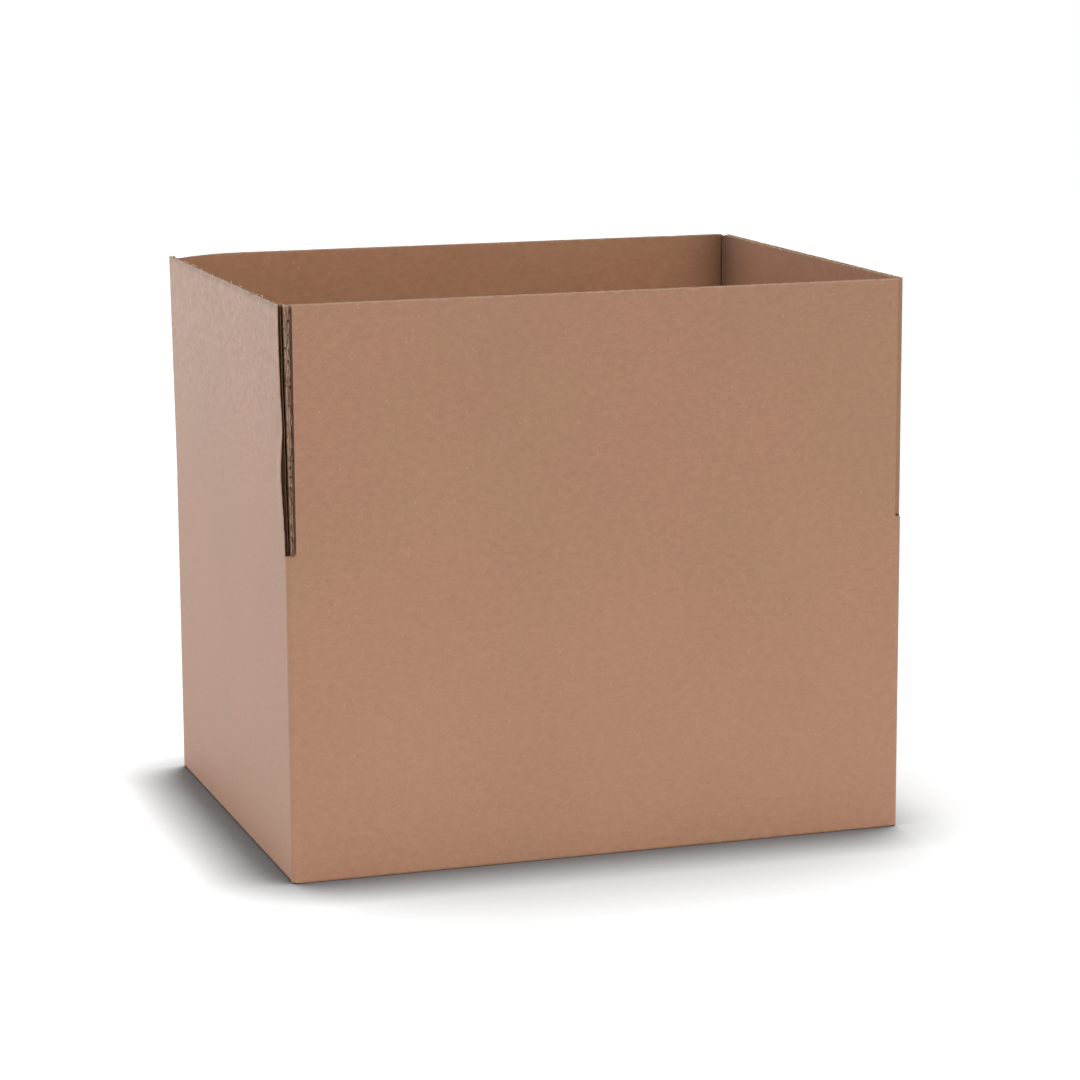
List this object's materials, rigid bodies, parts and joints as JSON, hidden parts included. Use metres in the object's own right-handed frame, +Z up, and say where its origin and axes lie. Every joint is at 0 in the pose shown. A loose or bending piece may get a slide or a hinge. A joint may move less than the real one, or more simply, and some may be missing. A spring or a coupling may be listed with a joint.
{
  "type": "cardboard box",
  "caption": "Open corrugated cardboard shipping box with a closed bottom, a glued corner joint and hinged top flaps that stand straight up.",
  "frame": {"origin": "centre of the box's footprint, on the surface that it stands on", "axes": "+X along the length to the right, +Y to the back, +Z up; the front wall faces -Y"},
  "size_m": [0.4019, 0.306, 0.353],
  "materials": {
    "board": "matte",
    "fluted_board": "matte"
  },
  "bodies": {
    "box": {"box_body": "board"},
    "front_flap": {"front_flap": "fluted_board"},
    "back_flap": {"back_flap": "fluted_board"},
    "left_flap": {"left_flap": "fluted_board"},
    "right_flap": {"right_flap": "fluted_board"}
  },
  "joints": [
    {"name": "front_flap_fold", "type": "hinge", "parent": "box", "child": "front_flap", "pos_m": [0, -0.153, 0.203], "axis": [1, 0, 0], "range_deg": [-90, 170]},
    {"name": "back_flap_fold", "type": "hinge", "parent": "box", "child": "back_flap", "pos_m": [0, 0.153, 0.203], "axis": [-1, 0, 0], "range_deg": [-90, 170]},
    {"name": "left_flap_fold", "type": "hinge", "parent": "box", "child": "left_flap", "pos_m": [-0.2, 0, 0.1987], "axis": [0, -1, 0], "range_deg": [-90.7, 169.3]},
    {"name": "right_flap_fold", "type": "hinge", "parent": "box", "child": "right_flap", "pos_m": [0.2, 0, 0.1987], "axis": [0, 1, 0], "range_deg": [-90, 170]}
  ]
}
